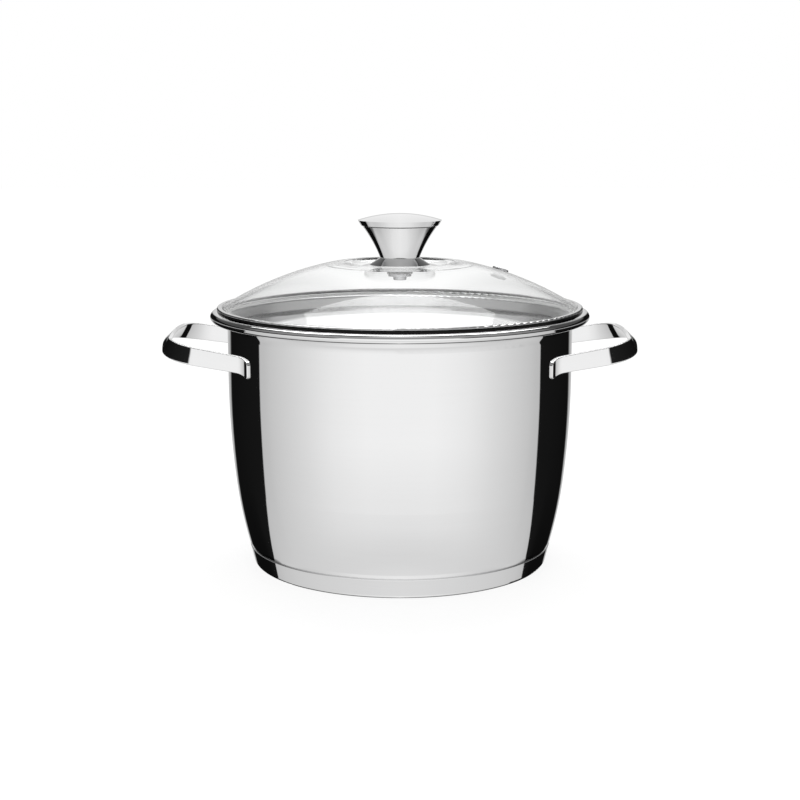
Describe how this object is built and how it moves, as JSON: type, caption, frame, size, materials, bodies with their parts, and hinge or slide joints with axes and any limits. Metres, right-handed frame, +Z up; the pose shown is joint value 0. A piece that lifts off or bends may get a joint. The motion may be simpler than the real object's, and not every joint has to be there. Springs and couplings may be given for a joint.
{
  "type": "water bath canner",
  "caption": "Deep round steel stock pot for water bath canning: glass domed lid, hourglass knob, steam vent, strap loop handles, thick base and a folding-bail jar rack inside.",
  "frame": {"origin": "centre of the base's underside, on the surface that the pot stands on", "axes": "+X along the line through the two loop handles, +Y to the back, +Z up along the pot's axis"},
  "size_m": [0.3326, 0.265, 0.2462],
  "materials": {
    "polished_steel": "mirror-polished stainless steel",
    "satin_steel": "satin drawn stainless steel",
    "aluminium_core": "plain rolled aluminium",
    "lid_glass": "clear tempered glass",
    "silicone": "translucent silicone",
    "knob_core": "black moulded phenolic"
  },
  "bodies": {
    "pot": {"pot_body": "polished_steel", "base_cap": "polished_steel", "base_core": "aluminium_core", "handle_left": "polished_steel", "handle_right": "polished_steel"},
    "lid": {"lid_band": "polished_steel", "band_seal": "silicone", "lid_glass": "lid_glass", "vent_eyelet": "polished_steel", "vent_washer": "silicone", "knob_gasket": "silicone", "knob_skirt": "polished_steel", "knob_body": "polished_steel", "knob_cap": "polished_steel", "knob_core": "knob_core", "lower_gasket": "silicone", "lower_washer": "satin_steel", "knob_screw": "satin_steel"},
    "rack": {"rack_hoop": "satin_steel", "rack_deck": "satin_steel", "rack_rails": "satin_steel", "rack_lugs": "satin_steel"},
    "right_bail": {"bail_right": "satin_steel"},
    "left_bail": {"bail_left": "satin_steel"}
  },
  "joints": [
    {"name": "lid_lift", "type": "slide", "parent": "pot", "child": "lid", "axis": [0, 0, 1], "range_m": [0, 0.15]},
    {"name": "rack_lift", "type": "slide", "parent": "pot", "child": "rack", "axis": [0, 0, 1], "range_m": [0, 0.1]},
    {"name": "right_bail_fold", "type": "hinge", "parent": "rack", "child": "right_bail", "pos_m": [0.063, 0, 0.0287], "axis": [0, 1, 0], "range_deg": [0, 95]},
    {"name": "left_bail_fold", "type": "hinge", "parent": "rack", "child": "left_bail", "pos_m": [-0.063, 0, 0.0287], "axis": [0, -1, 0], "range_deg": [0, 95]}
  ]
}
